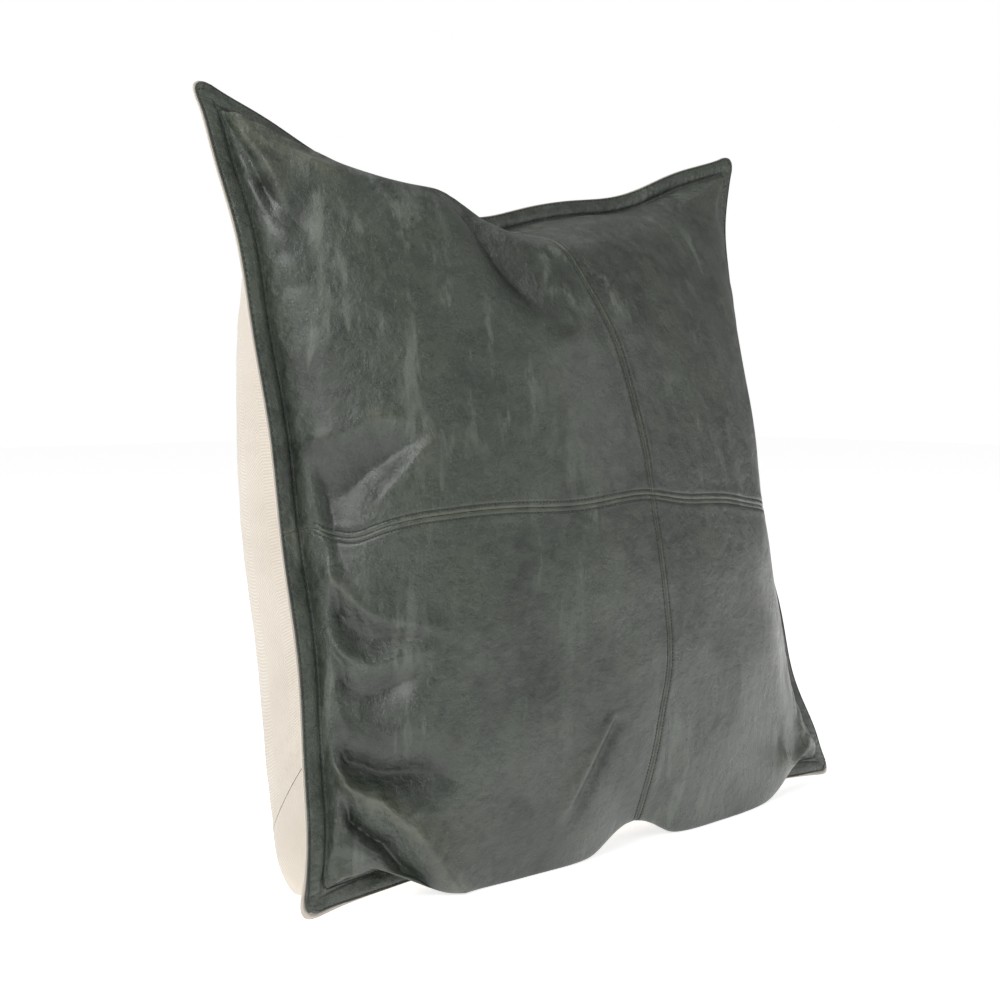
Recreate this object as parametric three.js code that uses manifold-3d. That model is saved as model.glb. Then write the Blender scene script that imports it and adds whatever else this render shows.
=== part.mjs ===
// A square throw pillow standing on its lower edge and leaning back a little.
// Four leather panels make the front, a linen back closes with a zip, both are sewn together round a flat
// flange, and a feather insert in its own ticking fills the cover. Millimetres, +Z up. The front faces -Y,
// and the origin is on the floor under the middle of the object.

import * as THREE from "three";
import { mergeVertices } from "three/addons/utils/BufferGeometryUtils.js";
import Module from "manifold-3d";

// ---- Driving dimensions -----------------------------------------------------------------------------

const COVER_FLAT = 559; // side of the cover as cut and sewn, before it is filled
const TIP_TO_TIP = 508; // side between the corner tips once the insert pulls the cover round
const LEAN_DEG = 12.5; // how far the pillow leans back
const FLANGE = 12.7; // flat border outside the inner row of stitches
const FRONT_DEPTH = 84; // how far the leather bulges from the flange plane
const BACK_DEPTH = 94; // how far the linen bulges
const CORNER_RADIUS = 12;
const TIP_LIFT = 2.2; // the lower corner tips just clear the floor
const LEFT_PULL = 24; // how far the middle of the left side is drawn in
const RIGHT_PULL = 40; // the same for the right side, where the filling stands further forward
const TOP_PULL = 24;
const FOOT_PULL = 12; // the lower edge, which the weight holds down
const TOP_DENT = {
  hollows: [[-140, 27], [-50, 43], [30, 22.5], [110, 20.5]], // places across the top edge, and how deep each is
  width: 45,
  reach: 0.45,
  pressedAt: -20, // where the filling is pushed down most
};
const SIDE_SWELL = { left: 24, right: 0 }; // how far the linen leans out towards its flange
const BACK_FULL = 4; // how squarely the linen fills out, where 2 is round
const FRONT_DROP = 84; // how far the filled belly sags below its seam
const BACK_DROP = 96;
const SEAM_HOLD = 0.5; // share of the sag in front which the seam down the middle takes up

const LEATHER = 1.2;
const LINEN = 0.8;
const TICKING = 1;
const GAP = 0.35; // air between neighbouring layers
const THREAD = 0.35; // half the thickness of a sewing thread
const INSERT = {
  half: 222, // flat distance from the middle to the insert's own edge seam
  plane: -4, // depth of that seam
  front: 68, // how far each side swells
  back: 78,
  fillShare: 0.88, // the filling stops short of the seam
  fillUnder: 3, // and lies this much deeper than the ticking
  cells: 14,
};

const SEAM_STITCH = 2.7; // rows of stitches each side of a panel seam
const EDGE_STITCH = 1.8; // the outer row of the flange, from the cut edge
const BELLY_START = FLANGE + 2.3; // where the flat flange turns up into the belly

const ZIP = {
  height: -152, // flat distance of the chain below the middle of the back
  halfLength: 190,
  slot: 4.5, // half the gap between the folded linen edges
  coilInner: 0.65,
  coilOuter: 2.2,
  coilRise: 0.6, // how far the coil stands proud of the linen
  coilFoot: 0.85,
  tapeInner: 0.75,
  tapeOuter: 15,
  tapeTop: 1.75,
  tapeBottom: 2.1,
  stitch: 8.5, // row that holds the tape, from the middle of the chain
  closes: [210, 220], // where the linen edges come together past each end of the chain
};
const ZIP_SPREAD = 0.94; // distance along the zip for a flat distance across the linen
const SLIDER = { length: 10, halfWidth: 4, plate: 1, under: 2.45, post: 0.3 };
const PULL = { length: 24, width: 6.5, thick: 1.1, bar: 1.6 };
const SLIDER_AT = 178; // where the slider stands when the zip is closed

const HALF = COVER_FLAT / 2;
const BELLY = HALF - BELLY_START;
const TIP = TIP_TO_TIP / 2 + CORNER_RADIUS * (1 - Math.SQRT1_2); // rounding takes the difference off
const LEAN = THREE.MathUtils.degToRad(LEAN_DEG);

// Flat positions, from the middle outwards, at which the cover's surfaces have a row of corners.
const PANEL_LINES = [GAP, SEAM_STITCH, 60, 115, 164, 210, 220, 238];
const EDGE_LINES = [252, BELLY, HALF - FLANGE, HALF - EDGE_STITCH, HALF];
const ACROSS = [...PANEL_LINES, ...EDGE_LINES];
const mirrored = (lines) => [...lines.map((p) => -p).reverse(), ...lines];
const COLUMNS = mirrored(ACROSS);
const EDGE_ROWS = EDGE_LINES.map((q) => -q).reverse();
const BELOW_ZIP = [-238, -216, -192, ZIP.height - 16];
const ABOVE_ZIP = [ZIP.height + 16, -98, -50, 0, 55, 110, 160, 210, 238];

// ---- Materials --------------------------------------------------------------------------------------

const finish = (color, roughness, metalness = 0) =>
  new THREE.MeshStandardMaterial({ color, roughness, metalness });
const MATERIALS = {
  leather: finish(0x3f4840, 0.42),
  linen: finish(0xd9d1c6, 0.9),
  ticking: finish(0xf2efe8, 0.9),
  fill: finish(0xf5f3ee, 1),
  darkThread: finish(0x1d221c, 0.7),
  creamThread: finish(0xcfc6b6, 0.8),
  tape: finish(0xcdc4b4, 0.85),
  nylon: finish(0xc9c0ae, 0.45),
  metal: finish(0x8d7a4f, 0.35, 1),
};

const pillow = new THREE.Group();
pillow.name = "throw_pillow";

function add(name, geometry, material) {
  const mesh = new THREE.Mesh(geometry, MATERIALS[material]);
  mesh.name = name;
  pillow.add(mesh);
  return mesh;
}

// ---- The pillow's shape -----------------------------------------------------------------------------
// A point of either sheet is named by its flat place (p across, q up, from the middle of the sheet) and its
// side: -1 for the leather front and +1 for the linen back.

const smooth = (low, high, x) => THREE.MathUtils.smoothstep(x, low, high);
const bell = (x, width) => Math.exp(-(x * x) / (2 * width * width));

/** The flat place with the square's corners rounded off. */
function rounded(p, q) {
  const start = HALF - CORNER_RADIUS;
  const overP = Math.abs(p) - start;
  const overQ = Math.abs(q) - start;
  if (overP <= 0 || overQ <= 0) return [p, q];
  const scale = Math.max(overP, overQ) / Math.hypot(overP, overQ);
  return [Math.sign(p) * (start + overP * scale), Math.sign(q) * (start + overQ * scale)];
}

/** A flat distance from the middle as a share of the filled pillow's half width. */
function spread(t) {
  return 0.55 * t + 0.45 * Math.sin((t * Math.PI) / 2);
}

/** A flat distance from the middle once the belly has drawn in the cut edge. The flange keeps its width. */
function drawnIn(t, edge) {
  const flat = Math.abs(t);
  const belly = edge - (HALF - BELLY);
  return Math.sign(t) * (flat > BELLY ? edge - (HALF - flat) : spread(flat / BELLY) * belly);
}

/** Where a flat place ends up in the plane of the flange: [across, up from the bottom corners]. */
function inPlane(p, q) {
  const [rp, rq] = rounded(p, q);
  const edge = (t, pull) => TIP - pull * Math.max(0, 1 - (t / HALF) ** 2) ** 0.8;
  const across = drawnIn(rp, edge(rq, rp < 0 ? LEFT_PULL : RIGHT_PULL));
  const up = drawnIn(rq, edge(rp, rq < 0 ? FOOT_PULL : TOP_PULL));
  const dent = TOP_DENT.hollows.reduce((sum, [at, deep]) => sum + deep * bell(across - at, TOP_DENT.width), 0);
  return [across, TIP_TO_TIP / 2 + TIP_LIFT + up - dent * smooth(TOP_DENT.reach, 1, rq / HALF)];
}

/** How full a sheet is at a flat place, from 0 at the flange to 1 in the middle. The limp linen gives most. */
function fullness(side, p, q) {
  const u = Math.min(1, Math.abs(p) / BELLY);
  const v = Math.min(1, Math.abs(q) / BELLY);
  const round = (t, power, root = 0.5) => Math.max(0, 1 - spread(t) ** power) ** root;
  const [across] = inPlane(p, q);
  const pressed = 0.35 * bell(across - TOP_DENT.pressedAt, 55) * smooth(0.55, 0.95, q / BELLY);
  if (side < 0) return round(u, 2) * round(v, 2) * (1 - pressed);
  return round(u, BACK_FULL) * (q < 0 ? round(v, BACK_FULL) : round(v, 2, 0.7)) * (1 - pressed);
}

/** How far the full linen leans out sideways over its flange. */
function sideways(p, q, full) {
  const swell = p < 0 ? -SIDE_SWELL.left : SIDE_SWELL.right;
  return swell * smooth(100, 240, Math.abs(p)) * smooth(0.05, 0.4, full) * smooth(-258, -170, q) * (1 - smooth(0, 200, q));
}

const UP = new THREE.Vector3(0, Math.sin(LEAN), Math.cos(LEAN));
const BACKWARD = new THREE.Vector3(0, Math.cos(LEAN), -Math.sin(LEAN));

/** A point given in the flange's own plane, carried to the leaning pillow. */
function place(across, up, depth) {
  return new THREE.Vector3(across, 0, 0).addScaledVector(UP, up).addScaledVector(BACKWARD, depth);
}

/** A sheet's outer face with the belly sagging on to the floor, before the zip's strip is let in. */
function sagged(side, p, q) {
  const [across, up] = inPlane(p, q);
  const full = fullness(side, p, q);
  const rise = GAP + (side < 0 ? LEATHER : LINEN) + full * (side < 0 ? FRONT_DEPTH : BACK_DEPTH);
  const low = Math.max(0, (BELLY - q) / (2 * BELLY)) ** 2.5;
  const drop = side < 0 ? FRONT_DROP * (1 - SEAM_HOLD * bell(p, 30)) : BACK_DROP;
  const point = place(across + (side < 0 ? 0 : sideways(p, q, full)), up, side * rise);
  point.z -= drop * low * smooth(0.06, 0.45, full);
  return point;
}

// The zip's slider runs along an arc of a circle, so the linen beside the chain is swept along the same arc.
const ARC = (() => {
  const middle = sagged(1, 0, ZIP.height);
  const end = sagged(1, ZIP.halfLength + 12, ZIP.height);
  const chord = end.x;
  const out = new THREE.Vector3(0, middle.y - end.y, middle.z - end.z);
  const rise = out.length();
  out.normalize();
  const radius = (chord * chord + rise * rise) / (2 * rise);
  const axis = new THREE.Vector3(1, 0, 0).cross(out).normalize();
  const up = sagged(1, 0, ZIP.height + 5).sub(sagged(1, 0, ZIP.height - 5));
  const normal = new THREE.Vector3(1, 0, 0).cross(up.normalize()).negate();
  const tilt = Math.atan2(normal.dot(axis), normal.dot(out));
  return { centre: middle.clone().addScaledVector(out, -radius), out, axis, radius, tilt };
})();

/** The frame at a distance along the zip, which runs towards -X: its point, and its three directions. */
function zipFrame(along) {
  const angle = along / ARC.radius;
  const radial = ARC.out.clone().multiplyScalar(Math.cos(angle));
  radial.x -= Math.sin(angle);
  const tangent = ARC.out.clone().multiplyScalar(-Math.sin(angle));
  tangent.x -= Math.cos(angle);
  const outward = radial.clone().multiplyScalar(Math.cos(ARC.tilt)).addScaledVector(ARC.axis, Math.sin(ARC.tilt));
  return {
    point: ARC.centre.clone().addScaledVector(radial, ARC.radius),
    tangent,
    outward,
    upward: outward.clone().cross(tangent).normalize(),
  };
}

/** A point beside the zip: along the chain, up across it, and inwards from the linen's outer face. */
function zipPoint(along, up, inward) {
  const f = zipFrame(along);
  return f.point.addScaledVector(f.upward, up).addScaledVector(f.outward, -inward);
}

/** How far a place on the linen belongs to the strip beside the zip, from 0 to 1. */
function zipShare(p, q) {
  const across = smooth(17, 72, Math.abs(q - ZIP.height));
  const along = smooth(ZIP.halfLength + 22, BELLY - 6, Math.abs(p));
  return (1 - across) * (1 - along);
}

/** The outer face of a sheet, resting on the floor where the belly reaches it. */
function face(side, p, q) {
  const point = sagged(side, p, q);
  const share = side < 0 ? 0 : zipShare(p, q);
  if (share > 0) point.lerp(zipPoint(-p * ZIP_SPREAD, q - ZIP.height, 0), share);
  point.z = Math.max(point.z, 0);
  return point;
}

/** The outward direction of a sheet's outer face. */
function outwards(side, p, q) {
  if (Math.max(Math.abs(p), Math.abs(q)) > BELLY + 1) return BACKWARD.clone().multiplyScalar(side);
  if (face(side, p, q).z === 0) return new THREE.Vector3(0, 0, -1);
  const reach = (t) => (Math.abs(t) < BELLY ? 8 : 1);
  const clampFlat = (t) => Math.min(HALF, Math.max(-HALF, t));
  const across = face(side, clampFlat(p + reach(p)), q).sub(face(side, clampFlat(p - reach(p)), q));
  const up = face(side, p, clampFlat(q + reach(q))).sub(face(side, p, clampFlat(q - reach(q))));
  return across.cross(up).normalize().multiplyScalar(-side);
}

/** A point under a sheet's outer face by a distance, or above it where the distance is negative. */
function under(side, p, q, distance) {
  return face(side, p, q).addScaledVector(outwards(side, p, q), -distance);
}

// ---- Solids from points -----------------------------------------------------------------------------

/** A closed solid between two grids of points, outer[row][column] and inner[row][column]. */
function slab(outer, inner, flip = false) {
  const rows = outer.length;
  const columns = outer[0].length;
  const points = [...outer.flat(), ...inner.flat()];
  const at = (layer, r, c) => layer * rows * columns + r * columns + c;
  const triangles = [];
  const quad = (a, b, c, d) => triangles.push(a, b, c, a, c, d);
  for (let r = 0; r + 1 < rows; r++) {
    for (let c = 0; c + 1 < columns; c++) {
      quad(at(0, r, c), at(0, r, c + 1), at(0, r + 1, c + 1), at(0, r + 1, c));
      quad(at(1, r, c), at(1, r + 1, c), at(1, r + 1, c + 1), at(1, r, c + 1));
    }
  }
  for (let c = 0; c + 1 < columns; c++) {
    quad(at(0, 0, c), at(1, 0, c), at(1, 0, c + 1), at(0, 0, c + 1));
    quad(at(0, rows - 1, c), at(0, rows - 1, c + 1), at(1, rows - 1, c + 1), at(1, rows - 1, c));
  }
  for (let r = 0; r + 1 < rows; r++) {
    quad(at(0, r, 0), at(0, r + 1, 0), at(1, r + 1, 0), at(1, r, 0));
    quad(at(0, r, columns - 1), at(1, r, columns - 1), at(1, r + 1, columns - 1), at(0, r + 1, columns - 1));
  }
  return solid(points, triangles, flip);
}

/** A tube of a four-sided section along rings of points. A closed tube joins its last ring to its first. */
function tube(rings, closed, flip = false) {
  const sides = rings[0].length;
  const count = closed ? rings.length : rings.length - 1;
  const triangles = [];
  for (let i = 0; i < count; i++) {
    const j = (i + 1) % rings.length;
    for (let k = 0; k < sides; k++) {
      const n = (k + 1) % sides;
      const [a, b, c, d] = [i * sides + k, i * sides + n, j * sides + n, j * sides + k];
      triangles.push(a, b, c, a, c, d);
    }
  }
  if (!closed) {
    const last = (rings.length - 1) * sides;
    for (let k = 1; k + 1 < sides; k++) {
      triangles.push(0, k + 1, k, last, last + k, last + k + 1);
    }
  }
  return solid(rings.flat(), triangles, flip);
}

function solid(points, triangles, flip) {
  const order = flip ? triangles.toReversed() : triangles;
  const geometry = new THREE.BufferGeometry().setFromPoints(points);
  geometry.setIndex(order);
  geometry.computeVertexNormals();
  return geometry;
}

/** The places where a grid over flat rows and columns lies at one depth under a sheet. */
function grid(side, columns, rows, distance) {
  return rows.map((q) => columns.map((p) => under(side, p, q, distance)));
}

// ---- Cover ------------------------------------------------------------------------------------------

function leatherPanel(name, left, low) {
  const columns = ACROSS.toReversed().map((p) => (left ? -p : p));
  const rows = low ? EDGE_ROWS.concat(PANEL_LINES.map((q) => -q).reverse()) : ACROSS;
  add(name, slab(grid(-1, columns, rows, 0), grid(-1, columns, rows, LEATHER), !left), "leather");
}

/** A linen panel whose zip edge keeps clear of the chain, and meets the other panel past the zip's ends. */
function linenPanel(name, sign) {
  const rows = sign > 0 ? [...ABOVE_ZIP, ...EDGE_LINES] : [...EDGE_ROWS, ...BELOW_ZIP];
  const closing = (p) => 1 - smooth(...ZIP.closes, Math.abs(p));
  const edge = (p) => ZIP.height + sign * (GAP + (ZIP.slot - GAP) * closing(p));
  const row = (q, distance) => COLUMNS.map((p) => under(1, p, q ?? edge(p), distance));
  const points = (distance) => (sign > 0 ? [null, ...rows] : [...rows, null]).map((q) => row(q, distance));
  add(name, slab(points(0), points(LINEN), true), "linen");
}

// ---- Sewing threads ---------------------------------------------------------------------------------

/** The four corners of a thread's section round a flat place, lying just off the sheet. */
function threadRing(side, p, q, alongP) {
  const centre = under(side, p, q, -(GAP + THREAD));
  const out = outwards(side, p, q).multiplyScalar(THREAD);
  const step = 0.5;
  const far = alongP ? face(side, p, q + step) : face(side, p + step, q);
  const near = alongP ? face(side, p, q - step) : face(side, p - step, q);
  const beside = far.sub(near).normalize().multiplyScalar(THREAD);
  return [
    centre.clone().add(out),
    centre.clone().add(beside),
    centre.clone().sub(out),
    centre.clone().sub(beside),
  ];
}

function seamThread(name, fixed, from, to, alongP) {
  const stops = COLUMNS.filter((t) => t > Math.min(from, to) && t < Math.max(from, to));
  const line = [Math.min(from, to), ...stops, Math.max(from, to)];
  const rings = line.map((t) => (alongP ? threadRing(-1, t, fixed, true) : threadRing(-1, fixed, t, false)));
  add(name, tube(rings, false, alongP), "darkThread");
}

/** A closed row of stitches round the flange, at a distance from the middle of the sheet. */
function flangeThread(name, side, reach, material) {
  const zipRows = [ZIP.height - GAP, ZIP.height + GAP];
  const rowLines = side < 0 ? COLUMNS : [...EDGE_ROWS, ...BELOW_ZIP, ...zipRows, ...ABOVE_ZIP, ...EDGE_LINES];
  const inside = (lines) => lines.filter((t) => Math.abs(t) < reach);
  const out = new THREE.Vector3();
  const round = [
    ...[-reach, ...inside(COLUMNS)].map((t) => [t, -reach]),
    ...[-reach, ...inside(rowLines)].map((t) => [reach, t]),
    ...[reach, ...inside(COLUMNS).toReversed()].map((t) => [t, reach]),
    ...[reach, ...inside(rowLines).toReversed()].map((t) => [-reach, t]),
  ];
  const rings = round.map(([p, q]) => {
    const centre = under(side, p, q, -(GAP + THREAD));
    const lift = outwards(side, p, q).multiplyScalar(THREAD);
    const outside = out.subVectors(face(side, p * 1.002, q * 1.002), face(side, p * 0.998, q * 0.998));
    const beside = outside.clone().normalize().multiplyScalar(THREAD);
    return [
      centre.clone().add(lift),
      centre.clone().add(beside),
      centre.clone().sub(lift),
      centre.clone().sub(beside),
    ];
  });
  add(name, tube(rings, true, side > 0), material);
}

// ---- Zip --------------------------------------------------------------------------------------------

/** A bar of rectangular section along the zip. Heights run upwards across the chain, depths inwards. */
function zipBar(name, [fromAlong, toAlong], [low, high], [top, bottom], material, steps = 24) {
  const rings = [];
  for (let i = 0; i <= steps; i++) {
    const along = fromAlong + ((toAlong - fromAlong) * i) / steps;
    rings.push([
      zipPoint(along, low, bottom),
      zipPoint(along, high, bottom),
      zipPoint(along, high, top),
      zipPoint(along, low, top),
    ]);
  }
  add(name, tube(rings, false), material);
}

function zipFastener() {
  const chain = [-ZIP.halfLength, ZIP.halfLength];
  const tape = [-ZIP.halfLength - 9, ZIP.halfLength + 9];
  const stitch = [GAP * -1 - 2 * THREAD, -GAP];
  for (const [word, s] of [["upper", 1], ["lower", -1]]) {
    const span = (inner, outer) => (s > 0 ? [inner, outer] : [-outer, -inner]);
    zipBar(`zip_tape_${word}`, tape, span(ZIP.tapeInner, ZIP.tapeOuter), [ZIP.tapeTop, ZIP.tapeBottom], "tape");
    zipBar(`zip_coil_${word}`, chain, span(ZIP.coilInner, ZIP.coilOuter), [-ZIP.coilRise, ZIP.coilFoot], "nylon");
    zipBar(`zip_stitch_${word}`, tape, span(ZIP.stitch, ZIP.stitch + 2 * THREAD), stitch, "creamThread");
    const end = [ZIP.halfLength + 1, ZIP.halfLength + 3.4];
    zipBar(`zip_top_stop_${word}`, end, span(ZIP.coilInner + 0.1, ZIP.coilOuter + 0.4), [-0.7, 0.85], "metal", 1);
  }
  zipBar("zip_bottom_stop", [-ZIP.halfLength - 5, -ZIP.halfLength - 1], [-2.6, 2.6], [-0.8, 0.85], "metal", 1);
}

// Small metal pieces are joined from blocks in the slider's own frame: x along the chain, y up across it
// and z out of the linen.
const wasm = await Module();
wasm.setup();

function asSolid(geometry) {
  const bare = geometry.clone();
  bare.deleteAttribute("normal");
  bare.deleteAttribute("uv");
  const merged = mergeVertices(bare, 1e-4);
  return new wasm.Manifold(
    new wasm.Mesh({
      numProp: 3,
      vertProperties: merged.attributes.position.array,
      triVerts: new Uint32Array(merged.index.array),
    }),
  );
}

function asGeometry(body) {
  const mesh = body.getMesh();
  return new THREE.BufferGeometry()
    .setAttribute("position", new THREE.BufferAttribute(mesh.vertProperties.slice(), 3))
    .setIndex(new THREE.BufferAttribute(mesh.triVerts, 1));
}

function block([x0, x1], [y0, y1], [z0, z1]) {
  const box = new THREE.BoxGeometry(x1 - x0, y1 - y0, z1 - z0);
  return asSolid(box.translate((x0 + x1) / 2, (y0 + y1) / 2, (z0 + z1) / 2));
}

/** A plate with rounded ends across it, extruded upwards. */
function plate(halfLength, halfWidth, narrow, [z0, z1]) {
  const shape = new THREE.Shape();
  shape.moveTo(-halfLength, -narrow);
  shape.quadraticCurveTo(0, -halfWidth * 0.92, halfLength * 0.25, -halfWidth);
  shape.quadraticCurveTo(halfLength, -halfWidth, halfLength, 0);
  shape.quadraticCurveTo(halfLength, halfWidth, halfLength * 0.25, halfWidth);
  shape.quadraticCurveTo(0, halfWidth * 0.92, -halfLength, narrow);
  shape.closePath();
  const body = new THREE.ExtrudeGeometry(shape, { depth: z1 - z0, bevelEnabled: false, curveSegments: 4 });
  return asSolid(body.translate(0, 0, z0));
}

const HINGE_HEIGHT = ZIP.coilRise + 0.3 + SLIDER.plate + PULL.bar / 2 + 0.35; // pull's bar above the linen

function sliderBody() {
  const half = SLIDER.length / 2;
  const top = ZIP.coilRise + 0.3;
  const flange = [ZIP.coilOuter + 0.45, SLIDER.halfWidth];
  let body = plate(half, SLIDER.halfWidth, 3.3, [top, top + SLIDER.plate]);
  body = body.add(plate(half, SLIDER.halfWidth, 3.3, [-SLIDER.under - SLIDER.plate * 0.8, -SLIDER.under]));
  body = body.add(block([1, half - 0.6], [-SLIDER.post, SLIDER.post], [-SLIDER.under - 0.1, top + 0.1]));
  for (const s of [-1, 1]) {
    const y = s > 0 ? flange : [-flange[1], -flange[0]];
    const skirt = block([-half, half], y, [-ZIP.coilFoot, top + 0.1]);
    body = body.add(skirt.intersect(plate(half, SLIDER.halfWidth, 3.3, [-2, 4])));
  }
  const crownHalf = 0.9;
  const crownTop = HINGE_HEIGHT + PULL.bar / 2 + 0.35;
  const legs = [[-3.4, -2.2], [2.2, 3.4]];
  for (const leg of legs) {
    body = body.add(block(leg, [-crownHalf, crownHalf], [top + 0.5, crownTop + 0.9]));
  }
  return body.add(block([-3.4, 3.4], [-crownHalf, crownHalf], [crownTop, crownTop + 0.9]));
}

/** The pull: a bar through the crown, two arms round it, and the tab, drawn lying flat along the chain. */
function pullTab() {
  const half = PULL.width / 2;
  const z = [HINGE_HEIGHT - PULL.thick / 2, HINGE_HEIGHT + PULL.thick / 2];
  const arm = 1.5;
  const window = 4.6;
  const tab = new THREE.Shape();
  tab.moveTo(-window, -half);
  tab.lineTo(-PULL.length + half, -half * 0.8);
  tab.absarc(-PULL.length + half * 0.8, 0, half * 0.8, -Math.PI / 2, Math.PI / 2, true);
  tab.lineTo(-window, half);
  tab.closePath();
  const eye = new THREE.Path().absarc(-PULL.length + half, 0, 1.1, 0, Math.PI * 2);
  tab.holes.push(eye);
  const flat = new THREE.ExtrudeGeometry(tab, { depth: PULL.thick, bevelEnabled: false, curveSegments: 8 });
  let body = asSolid(flat.translate(0, 0, z[0]));
  for (const s of [-1, 1]) {
    const y = s > 0 ? [half - arm, half] : [-half, -half + arm];
    body = body.add(block([-window - 0.2, PULL.bar / 2], y, z));
  }
  const bar = new THREE.CylinderGeometry(PULL.bar / 2, PULL.bar / 2, 2 * half - 0.4, 10);
  return body.add(asSolid(bar.translate(0, 0, HINGE_HEIGHT)));
}

/** Carries a piece drawn in the slider's own frame to its place on the zip. */
function onZip(name, body, swing = 0) {
  const f = zipFrame(SLIDER_AT);
  const lift = new THREE.Matrix4().makeTranslation(0, 0, HINGE_HEIGHT);
  const lower = lift.clone().invert();
  const turned = lift.multiply(new THREE.Matrix4().makeRotationY(swing)).multiply(lower);
  const mesh = add(name, asGeometry(body), "metal");
  mesh.geometry.applyMatrix4(turned);
  mesh.geometry.applyMatrix4(new THREE.Matrix4().makeBasis(f.tangent, f.upward, f.outward));
  mesh.position.copy(f.point);
}

/** How far the pull swings out from lying flat, to hang straight down from the slider. */
function hangingAngle() {
  const f = zipFrame(SLIDER_AT);
  return Math.atan2(-f.outward.z, f.tangent.z);
}

// ---- Insert -----------------------------------------------------------------------------------------

/** One layer of half the insert: a lens inside the cover, lifted off the insert's own plane by some depth. */
function insertLayer(side, reach, lift) {
  const swell = side < 0 ? INSERT.front : INSERT.back;
  const stops = Array.from({ length: INSERT.cells + 1 }, (_, i) => (reach * (2 * i)) / INSERT.cells - reach);
  const point = (u, v) => {
    const full = (1 - u * u) * (1 - v * v);
    return place(...inPlane(u * INSERT.half, v * INSERT.half), INSERT.plane + side * (swell * full + lift));
  };
  return stops.map((v) => stops.map((u) => point(u, v)));
}

function insert() {
  for (const [word, side] of [["front", -1], ["back", 1]]) {
    const layers = [insertLayer(side, 1, GAP / 2 + TICKING), insertLayer(side, 1, GAP / 2)];
    add(`insert_ticking_${word}`, slab(...layers, side > 0), "ticking");
  }
  const half = (side) => insertLayer(side, INSERT.fillShare, -INSERT.fillUnder);
  add("feather_filling", slab(half(-1), half(1)), "fill");
}

// ---- Assembly ---------------------------------------------------------------------------------------

leatherPanel("leather_panel_upper_left", true, false);
leatherPanel("leather_panel_upper_right", false, false);
leatherPanel("leather_panel_lower_left", true, true);
leatherPanel("leather_panel_lower_right", false, true);
linenPanel("linen_back_upper", 1);
linenPanel("linen_back_lower", -1);

const seamEnd = BELLY - 4;
const seamFoot = 246;
const crossing = SEAM_STITCH + 1.2;
seamThread("seam_stitch_across_upper", SEAM_STITCH, -seamEnd, seamEnd, true);
seamThread("seam_stitch_across_lower", -SEAM_STITCH, -seamEnd, seamEnd, true);
seamThread("seam_stitch_upper_left", -SEAM_STITCH, crossing, seamEnd, false);
seamThread("seam_stitch_upper_right", SEAM_STITCH, crossing, seamEnd, false);
seamThread("seam_stitch_lower_left", -SEAM_STITCH, -crossing, -seamFoot, false);
seamThread("seam_stitch_lower_right", SEAM_STITCH, -crossing, -seamFoot, false);
flangeThread("flange_stitch_inner_front", -1, HALF - FLANGE, "darkThread");
flangeThread("flange_stitch_outer_front", -1, HALF - EDGE_STITCH, "darkThread");
flangeThread("flange_stitch_inner_back", 1, HALF - FLANGE, "creamThread");
flangeThread("flange_stitch_outer_back", 1, HALF - EDGE_STITCH, "creamThread");

zipFastener();
onZip("zip_slider", sliderBody());
onZip("zip_pull", pullTab(), hangingAngle());

insert();

// The origin goes under the middle of the whole pillow.
const middle = new THREE.Box3().setFromObject(pillow).getCenter(new THREE.Vector3()).setZ(0);
for (const mesh of pillow.children) mesh.position.sub(middle);

export default pillow;
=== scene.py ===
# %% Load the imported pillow
import math

import bpy
import numpy as np
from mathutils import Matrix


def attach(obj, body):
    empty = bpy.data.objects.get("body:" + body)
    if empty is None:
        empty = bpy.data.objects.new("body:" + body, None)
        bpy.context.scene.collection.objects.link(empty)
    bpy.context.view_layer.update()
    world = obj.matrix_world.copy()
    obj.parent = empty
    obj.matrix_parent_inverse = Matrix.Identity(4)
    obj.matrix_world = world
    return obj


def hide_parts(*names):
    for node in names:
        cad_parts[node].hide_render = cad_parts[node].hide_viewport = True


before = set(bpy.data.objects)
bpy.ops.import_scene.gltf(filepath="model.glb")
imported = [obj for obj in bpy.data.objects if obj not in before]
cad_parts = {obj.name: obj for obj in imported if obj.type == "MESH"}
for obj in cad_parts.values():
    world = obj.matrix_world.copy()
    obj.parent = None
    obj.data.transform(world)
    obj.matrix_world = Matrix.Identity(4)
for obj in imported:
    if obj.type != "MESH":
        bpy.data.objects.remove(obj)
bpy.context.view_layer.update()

# %% [markdown]
# The pillow is a cover of four leather panels in front and two of linen behind, sewn together round
# a flat flange, with a feather insert inside. Every place on the cover is named by where it was on the flat
# cut: p across and q up, from the middle, in metres. One function carries a flat place to the filled
# pillow, so that panels, stitches and folds all agree on where the cloth is.

# %% Sizes of the cover
CUT = 0.559
HALF = CUT / 2
FLANGE = 0.0127
BELLY = HALF - FLANGE - 0.0023
SEW = HALF - FLANGE
OUTER_ROW = HALF - 0.0018
ROUND = 0.012
TIP_HALF = 0.254
TIP = TIP_HALF + ROUND * (1 - math.sqrt(0.5))
LEAN = math.radians(12.5)
LIFT = 0.0022
GAP = 0.00035
LEATHER = 0.0012
LINEN = 0.0008
DEPTH = {-1: 0.084, 1: 0.094}
THICK = {-1: LEATHER, 1: LINEN}
DROP = {-1: 0.084, 1: 0.096}
SEAM_HOLD = 0.5
SIDE_SWELL = 0.024
# The filled cover is moved by these so that its middle stands over the origin.
SHIFT_X = 0.00090942
BACK_SHIFT = 0.05657016
BACKWARD = np.array([0, math.cos(LEAN), -math.sin(LEAN)])
SEAM_ROW = 0.0027
print("flat cut", CUT, "flange", FLANGE)


# %% Soft steps
def smooth(low, high, x):
    t = np.clip((x - low) / (high - low), 0, 1)
    return t * t * (3 - 2 * t)


def bell(x, width):
    return np.exp(-(x * x) / (2 * width * width))


def spread(t):
    return 0.55 * t + 0.45 * np.sin(t * math.pi / 2)


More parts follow.
